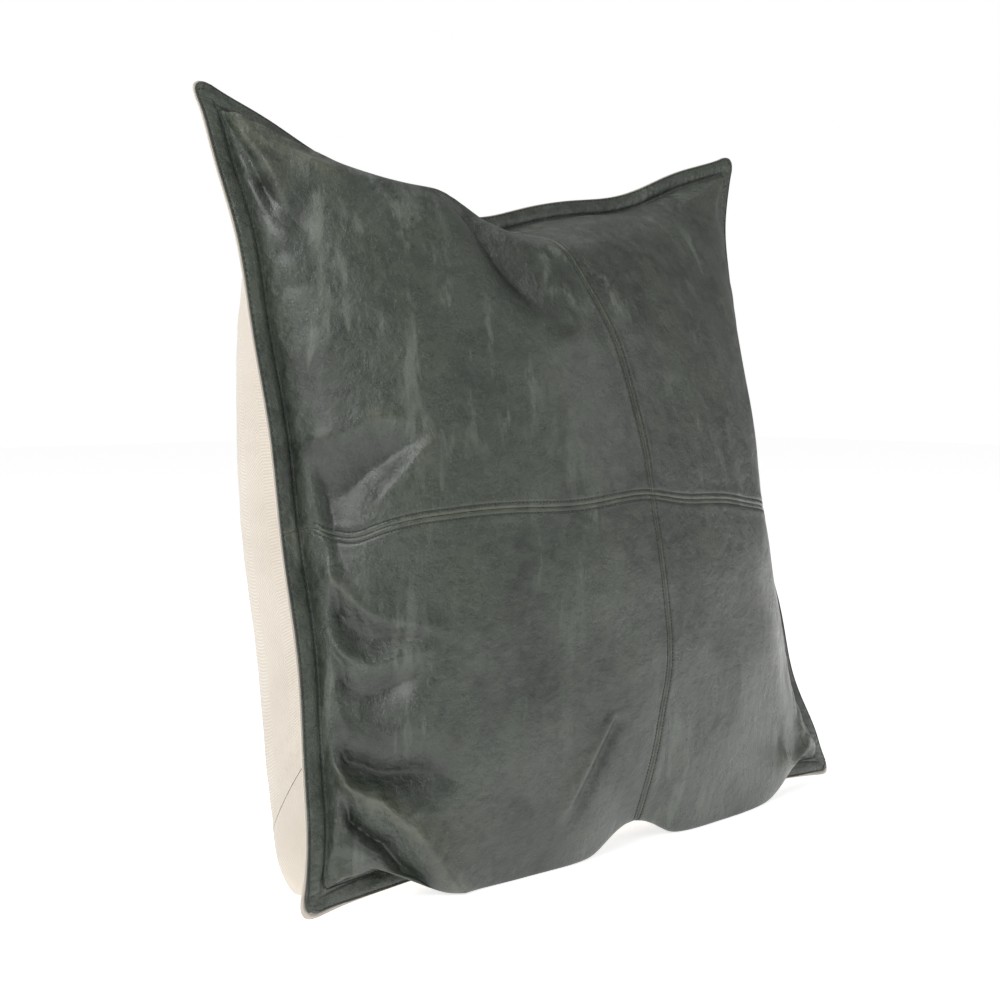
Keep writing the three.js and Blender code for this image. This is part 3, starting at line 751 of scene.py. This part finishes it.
def use(tree, name, values):
    node = tree.nodes.new("ShaderNodeGroup")
    node.node_tree = bpy.data.node_groups[name]
    for key, value in values.items():
        if isinstance(value, bpy.types.NodeSocket):
            tree.links.new(value, node.inputs[key])
        else:
            node.inputs[key].default_value = value
    return node.outputs


FLOAT = "NodeSocketFloat"
VECTOR = "NodeSocketVector"

# %% Leather grain
grain_inputs = [("Vector", VECTOR, None), ("Scale", FLOAT, 900.0)]
tree, given, out = new_group("Leather grain", grain_inputs, [("Height", FLOAT), ("Pores", FLOAT)])
waver = {"Vector": given["Vector"], "Scale": 160.0, "Detail": 2.0}
bent = put(tree, "ShaderNodeTexNoise", waver).outputs["Color"]
by_little = {0: bent, 1: (0.0025, 0.0025, 0.0025)}
shifted = put(tree, "ShaderNodeVectorMath", by_little, operation="MULTIPLY").outputs[0]
where = put(tree, "ShaderNodeVectorMath", {0: given["Vector"], 1: shifted}, operation="ADD").outputs[0]
sized = {"Vector": where, "Scale": given["Scale"]}
cells = put(tree, "ShaderNodeTexVoronoi", sized, feature="DISTANCE_TO_EDGE")
pebble = mapped(tree, cells.outputs["Distance"], 0.0, 0.16)
fine = noise(tree, given["Vector"], 2600.0, 2.0)
pebble_share = math_node(tree, "MULTIPLY", pebble, 0.75)
height = math_node(tree, "ADD", pebble_share, math_node(tree, "MULTIPLY", fine, 0.35))
tree.links.new(height, out["Height"])
tree.links.new(math_node(tree, "SUBTRACT", 1.0, pebble, clamp=True), out["Pores"])

# %% Cloudy mottling
cloud_inputs = [("Vector", VECTOR, None), ("Scale", FLOAT, 12.0), ("Contrast", FLOAT, 0.12)]
tree, given, out = new_group("Mottling", cloud_inputs, [("Cloud", FLOAT)])
billows = {"Vector": given["Vector"], "Scale": given["Scale"]}
billows.update({"Detail": 6.0, "Roughness": 0.62, "Distortion": 0.6})
cloud = put(tree, "ShaderNodeTexNoise", billows).outputs["Fac"]
low = math_node(tree, "SUBTRACT", 0.5, given["Contrast"])
high = math_node(tree, "ADD", 0.5, given["Contrast"])
tree.links.new(mapped(tree, cloud, low, high), out["Cloud"])

# %% Rubbed streaks
streak_inputs = [("Vector", VECTOR, None), ("Amount", FLOAT, 0.5)]
tree, given, out = new_group("Rubbed streaks", streak_inputs, [("Streaks", FLOAT)])
long_way = moved(tree, given["Vector"], (1.0, 1.0, 0.14))
streak = noise(tree, long_way, 62.0, 5.0, 0.65)
patch = noise(tree, given["Vector"], 9.0, 3.0)
thin = mapped(tree, streak, 0.53, 0.66)
where = mapped(tree, patch, 0.42, 0.60)
value = math_node(tree, "MULTIPLY", math_node(tree, "MULTIPLY", thin, where), given["Amount"], clamp=True)
tree.links.new(value, out["Streaks"])

# %% Herringbone and plain weave
weave_inputs = [("Vector", VECTOR, None), ("Stripe", FLOAT, 0.006), ("Rib", FLOAT, 0.0016)]
tree, given, out = new_group("Herringbone", weave_inputs, [("Height", FLOAT), ("Gaps", FLOAT)])
parts = put(tree, "ShaderNodeSeparateXYZ", {0: given["Vector"]}).outputs
away = math_node(tree, "ADD", parts["X"], 1.0)
zigzag = math_node(tree, "PINGPONG", away, given["Stripe"])
slope = math_node(tree, "DIVIDE", math_node(tree, "ADD", parts["Y"], zigzag), given["Rib"])
rib = math_node(tree, "SINE", math_node(tree, "MULTIPLY", slope, 2 * math.pi))
rib = math_node(tree, "ADD", math_node(tree, "MULTIPLY", rib, 0.5), 0.5)
warp = math_node(tree, "SINE", math_node(tree, "MULTIPLY", parts["X"], 2 * math.pi / 0.0009))
warp = math_node(tree, "ADD", math_node(tree, "MULTIPLY", warp, 0.5), 0.5)
slub = noise(tree, moved(tree, given["Vector"], (60.0, 900.0, 1.0)), 1.0, 3.0)
rib_share = math_node(tree, "MULTIPLY", rib, 0.65)
height = math_node(tree, "ADD", rib_share, math_node(tree, "MULTIPLY", warp, 0.20))
height = math_node(tree, "ADD", height, math_node(tree, "MULTIPLY", slub, 0.4))
tree.links.new(height, out["Height"])
tree.links.new(math_node(tree, "SUBTRACT", 1.0, rib, clamp=True), out["Gaps"])

plain_inputs = [("Vector", VECTOR, None), ("Pitch", FLOAT, 0.0008)]
tree, given, out = new_group("Plain weave", plain_inputs, [("Height", FLOAT)])
parts = put(tree, "ShaderNodeSeparateXYZ", {0: given["Vector"]}).outputs
waves = []
for axis in ("X", "Y"):
    turn = math_node(tree, "MULTIPLY", math_node(tree, "DIVIDE", parts[axis], given["Pitch"]), math.pi)
    waves.append(math_node(tree, "SINE", turn))
tree.links.new(math_node(tree, "ABSOLUTE", math_node(tree, "MULTIPLY", *waves)), out["Height"])

# %% Thread twist
twist_outputs = [("Height", FLOAT), ("Shade", FLOAT)]
tree, given, out = new_group("Thread twist", [("Vector", VECTOR, None)], twist_outputs)
tilted = moved(tree, given["Vector"], (1.0, 1.0, 1.0), (0.5, 0.4, 0.7))
strands = put(tree, "ShaderNodeTexWave", {"Vector": tilted, "Scale": 700.0, "Distortion": 1.0}).outputs["Fac"]
tree.links.new(strands, out["Height"])
tree.links.new(noise(tree, given["Vector"], 300.0), out["Shade"])


# %% Start of every material
def begin(name):
    material = bpy.data.materials.new(name)
    material.use_nodes = True
    tree = material.node_tree
    tree.nodes.clear()
    shader = put(tree, "ShaderNodeBsdfPrincipled")
    end = put(tree, "ShaderNodeOutputMaterial")
    tree.links.new(shader.outputs[0], end.inputs["Surface"])
    return material, tree, shader.inputs


def bump(tree, height, strength, distance, below=None):
    values = {"Height": height, "Strength": strength, "Distance": distance}
    if below is not None:
        values["Normal"] = below
    return put(tree, "ShaderNodeBump", values).outputs[0]


def link(tree, value, socket):
    tree.links.new(value, socket)


# %% [markdown]
# The leather is a waxed pull-up hide. The wax is dark where it lies undisturbed and turns pale where the
# hide is stretched or rubbed, so folds and seam shoulders are lighter. The valleys are painted darker as
# shade.
# Its gloss is broad and a bit uneven.

# %% Leather
def leather_material():
    material, tree, shader = begin("waxed leather")
    spot = put(tree, "ShaderNodeTexCoord").outputs["Object"]
    crest = put(tree, "ShaderNodeAttribute", attribute_name="crest").outputs["Fac"]
    valley_shade = put(tree, "ShaderNodeAttribute", attribute_name="valley_shade").outputs["Fac"]
    clouds = use(tree, "Mottling", {"Vector": spot, "Scale": 11.0, "Contrast": 0.13})["Cloud"]
    specks = use(tree, "Mottling", {"Vector": spot, "Scale": 85.0, "Contrast": 0.13})["Cloud"]
    streaks = use(tree, "Rubbed streaks", {"Vector": spot, "Amount": 1.0})["Streaks"]
    grain = use(tree, "Leather grain", {"Vector": spot, "Scale": 900.0})
    color = mixed(tree, clouds, (0.012, 0.017, 0.0115, 1), (0.038, 0.049, 0.035, 1))
    color = mixed(tree, math_node(tree, "MULTIPLY", specks, 0.45), color, (0.066, 0.081, 0.060, 1))
    color = mixed(tree, streaks, color, (0.105, 0.122, 0.098, 1))
    worn = math_node(tree, "MULTIPLY", crest, mapped(tree, specks, 0.0, 1.0, 0.35, 0.85))
    color = mixed(tree, worn, color, (0.085, 0.097, 0.062, 1))
    # Painted shade: the valleys of folds and seams are darkened almost to black.
    color = mixed(tree, math_node(tree, "MULTIPLY", valley_shade, 0.75), color, (0.008, 0.010, 0.008, 1))
    color = mixed(tree, math_node(tree, "MULTIPLY", grain["Pores"], 0.30), color, (0.010, 0.013, 0.010, 1))
    link(tree, color, shader["Base Color"])
    rough = mapped(tree, clouds, 0.0, 1.0, 0.36, 0.25)
    rough = math_node(tree, "ADD", rough, math_node(tree, "MULTIPLY", streaks, 0.12))
    link(tree, math_node(tree, "ADD", rough, math_node(tree, "MULTIPLY", specks, 0.06)), shader["Roughness"])
    shader["Specular IOR Level"].default_value = 0.62
    shader["Coat Weight"].default_value = 0.30
    shader["Coat Roughness"].default_value = 0.28
    crumple = noise(tree, spot, 105.0, 5.0, 0.68)
    soft = noise(tree, spot, 38.0, 3.0, 0.5)
    relief = math_node(tree, "ADD", crumple, math_node(tree, "MULTIPLY", soft, 1.6))
    base = bump(tree, relief, 0.75, 0.0028)
    link(tree, bump(tree, grain["Height"], 0.45, 0.00022, base), shader["Normal"])
    return material


# %% Linen
def linen_material():
    material, tree, shader = begin("herringbone linen")
    flat = put(tree, "ShaderNodeUVMap", uv_map="flat").outputs[0]
    spot = put(tree, "ShaderNodeTexCoord").outputs["Object"]
    weave = use(tree, "Herringbone", {"Vector": flat, "Stripe": 0.0065, "Rib": 0.0017})
    clouds = use(tree, "Mottling", {"Vector": spot, "Scale": 18.0, "Contrast": 0.2})["Cloud"]
    color = mixed(tree, clouds, (0.650, 0.600, 0.530, 1), (0.720, 0.672, 0.605, 1))
    color = mixed(tree, math_node(tree, "MULTIPLY", weave["Gaps"], 0.55), color, (0.520, 0.445, 0.360, 1))
    link(tree, color, shader["Base Color"])
    link(tree, mapped(tree, weave["Height"], 0.0, 1.2, 0.95, 0.82), shader["Roughness"])
    shader["Sheen Weight"].default_value = 0.25
    shader["Sheen Roughness"].default_value = 0.5
    base = bump(tree, noise(tree, spot, 60.0, 4.0, 0.6), 0.4, 0.0012)
    link(tree, bump(tree, weave["Height"], 0.6, 0.0003, base), shader["Normal"])
    return material


# %% Cotton ticking, feathers and threads
def ticking_material():
    material, tree, shader = begin("down-proof ticking")
    flat = put(tree, "ShaderNodeUVMap", uv_map="flat").outputs[0]
    spot = put(tree, "ShaderNodeTexCoord").outputs["Object"]
    weave = use(tree, "Plain weave", {"Vector": flat, "Pitch": 0.0007})["Height"]
    clouds = use(tree, "Mottling", {"Vector": spot, "Scale": 20.0, "Contrast": 0.2})["Cloud"]
    link(tree, mixed(tree, clouds, (0.80, 0.78, 0.73, 1), (0.87, 0.855, 0.82, 1)), shader["Base Color"])
    link(tree, mapped(tree, weave, 0.0, 1.0, 0.75, 0.9), shader["Roughness"])
    shader["Sheen Weight"].default_value = 0.15
    link(tree, bump(tree, weave, 0.4, 0.00015), shader["Normal"])
    return material


def feather_material():
    material, tree, shader = begin("feather filling")
    spot = put(tree, "ShaderNodeTexCoord").outputs["Object"]
    barbs = noise(tree, moved(tree, spot, (1.0, 1.0, 0.25), (0.6, 0.2, 0.9)), 260.0, 5.0, 0.7)
    clouds = use(tree, "Mottling", {"Vector": spot, "Scale": 40.0, "Contrast": 0.2})["Cloud"]
    color = mixed(tree, clouds, (0.72, 0.70, 0.66, 1), (0.90, 0.89, 0.87, 1))
    link(tree, color, shader["Base Color"])
    link(tree, mapped(tree, barbs, 0.3, 0.7, 0.85, 1.0), shader["Roughness"])
    shader["Sheen Weight"].default_value = 0.4
    link(tree, bump(tree, barbs, 0.8, 0.002), shader["Normal"])
    return material


def thread_material(name, dark, pale):
    material, tree, shader = begin(name)
    spot = put(tree, "ShaderNodeTexCoord").outputs["Object"]
    twist = use(tree, "Thread twist", {"Vector": spot})
    link(tree, mixed(tree, twist["Shade"], dark, pale), shader["Base Color"])
    link(tree, mapped(tree, twist["Height"], 0.0, 1.0, 0.62, 0.5), shader["Roughness"])
    shader["Sheen Weight"].default_value = 0.1
    link(tree, bump(tree, twist["Height"], 0.5, 0.0001), shader["Normal"])
    return material


# %% Zip tape, nylon coil and brass
def tape_material():
    material, tree, shader = begin("woven zip tape")
    spot = put(tree, "ShaderNodeTexCoord").outputs["Object"]
    across = moved(tree, spot, (1.0, 0.0, 1.0))
    turned = put(tree, "ShaderNodeMapping", {"Vector": across, "Rotation": (math.pi / 2, 0, 0)}).outputs[0]
    weave = use(tree, "Herringbone", {"Vector": turned, "Stripe": 0.0015, "Rib": 0.0008})
    color = mixed(tree, weave["Gaps"], (0.66, 0.59, 0.49, 1), (0.50, 0.43, 0.34, 1))
    link(tree, color, shader["Base Color"])
    link(tree, mapped(tree, weave["Height"], 0.0, 1.2, 0.85, 0.7), shader["Roughness"])
    link(tree, bump(tree, weave["Height"], 0.5, 0.0002), shader["Normal"])
    return material


def nylon_material():
    material, tree, shader = begin("nylon filament")
    spot = put(tree, "ShaderNodeTexCoord").outputs["Object"]
    tone = noise(tree, spot, 90.0)
    link(tree, mixed(tree, tone, (0.60, 0.53, 0.43, 1), (0.70, 0.64, 0.54, 1)), shader["Base Color"])
    link(tree, mapped(tree, tone, 0.3, 0.7, 0.30, 0.42), shader["Roughness"])
    link(tree, bump(tree, noise(tree, spot, 2500.0, 2.0), 0.2, 0.00005), shader["Normal"])
    return material


def brass_material():
    material, tree, shader = begin("antique brass")
    spot = put(tree, "ShaderNodeTexCoord").outputs["Object"]
    clouds = use(tree, "Mottling", {"Vector": spot, "Scale": 420.0, "Contrast": 0.15})["Cloud"]
    scratch = noise(tree, moved(tree, spot, (8.0, 1.0, 1.0), (0, 0.4, 0.2)), 900.0, 3.0)
    color = mixed(tree, clouds, (0.26, 0.19, 0.085, 1), (0.48, 0.37, 0.18, 1))
    link(tree, color, shader["Base Color"])
    shader["Metallic"].default_value = 1.0
    link(tree, mapped(tree, clouds, 0.0, 1.0, 0.46, 0.28), shader["Roughness"])
    link(tree, bump(tree, scratch, 0.25, 0.00006), shader["Normal"])
    return material


LEATHER_LOOK = leather_material()
LINEN_LOOK = linen_material()
TICKING_LOOK = ticking_material()
FEATHER_LOOK = feather_material()
DARK_LOOK = thread_material("dark waxed thread", (0.010, 0.012, 0.010, 1), (0.030, 0.034, 0.028, 1))
CREAM_LOOK = thread_material("cream thread", (0.62, 0.54, 0.44, 1), (0.76, 0.70, 0.60, 1))
TAPE_LOOK = tape_material()
NYLON_LOOK = nylon_material()
BRASS_LOOK = brass_material()
print("materials", len(bpy.data.materials))


# %% [markdown]
# Every piece gets its finish, hangs from the body it moves with, and hides the part of the imported model
# that it stands for. The zip's slider, pull, stops and tapes already have the right shape, so they stay and
# get better finishes.

# %% Give each piece its place in the model
def finish_piece(piece, look, node, body="pillow"):
    piece.data.materials.clear()
    piece.data.materials.append(look)
    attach(piece, body)
    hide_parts(node)


for word, piece in LEATHER_FRONT.items():
    finish_piece(piece, LEATHER_LOOK, f"leather_panel_{word}")
for word, piece in LINEN_BACK.items():
    finish_piece(piece, LINEN_LOOK, f"linen_back_{word}")
for node, piece in STITCHES.items():
    dark = "back" not in node and "zip" not in node
    look, slot = (DARK_LOOK, "dark_thread") if dark else (CREAM_LOOK, "cream_thread")
    finish_piece(piece, look, node)
for word, piece in COILS.items():
    finish_piece(piece, NYLON_LOOK, f"zip_coil_{word}")
for word, piece in TICKING.items():
    finish_piece(piece, TICKING_LOOK, f"insert_ticking_{word}")
finish_piece(filling, FEATHER_LOOK, "feather_filling")

KEPT = {
    "zip_tape_upper": TAPE_LOOK,
    "zip_tape_lower": TAPE_LOOK,
    "zip_top_stop_upper": BRASS_LOOK,
    "zip_top_stop_lower": BRASS_LOOK,
    "zip_bottom_stop": BRASS_LOOK,
    "zip_slider": BRASS_LOOK,
    "zip_pull": BRASS_LOOK,
}
for name, look in KEPT.items():
    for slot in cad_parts[name].material_slots:
        slot.material = look
print("kept", len(KEPT), "pieces of the packed model")

# %% [markdown]
# A plain pale floor, a broad soft light from the upper left, a weaker one from the right, a wide one
# from above, and a lens a little longer than normal.

# %% Floor
deselect_all()
bpy.ops.mesh.primitive_grid_add(x_subdivisions=2, y_subdivisions=2, size=12, location=(0, 0, 0))
floor = bpy.context.object
floor.name = "studio_floor"
material, tree, shader = begin("pale floor")
shader["Base Color"].default_value = (0.86, 0.86, 0.86, 1)
shader["Roughness"].default_value = 0.7
shader["Emission Color"].default_value = (1, 1, 1, 1)
shader["Emission Strength"].default_value = 0.74
floor.data.materials.append(material)

# %% Lights
world = bpy.data.worlds.new("studio")
world.use_nodes = True
sky = world.node_tree
path = put(sky, "ShaderNodeLightPath").outputs["Is Camera Ray"]
strength = put(sky, "ShaderNodeMapRange", {"Value": path, "To Min": 0.27, "To Max": 1.0}).outputs[0]
sky.nodes["Background"].inputs["Color"].default_value = (1, 1, 1, 1)
sky.links.new(strength, sky.nodes["Background"].inputs["Strength"])
bpy.context.scene.world = world
bpy.context.scene.view_settings.view_transform = "Standard"


def area_light(name, place, target, size, power):
    data = bpy.data.lights.new(name, "AREA")
    data.size = size
    data.energy = power
    lamp = bpy.data.objects.new(name, data)
    bpy.context.scene.collection.objects.link(lamp)
    from_x, from_y, from_z = (t - s for t, s in zip(target, place))
    lamp.location = place
    level = math.hypot(from_x, from_y)
    lamp.rotation_euler = (math.atan2(level, -from_z), 0, math.atan2(-from_x, from_y))


area_light("key", (-1.7, -0.5, 1.5), (0, 0, 0.25), 1.0, 25)
area_light("fill", (1.3, -1.6, 1.1), (0, 0, 0.25), 0.9, 6)
area_light("top", (-0.2, 0.4, 1.9), (0, 0, 0.25), 1.6, 12)

# %% Camera
camera_data = bpy.data.cameras.new("camera")
camera_data.lens = 55.006
camera_data.sensor_width = 36
camera = bpy.data.objects.new("camera", camera_data)
bpy.context.scene.collection.objects.link(camera)
camera.location = (-0.7442, -0.7783, 0.3155)
camera.rotation_euler = (math.radians(90 - 4.5126), 0, math.radians(-41.7516))
bpy.context.scene.camera = camera
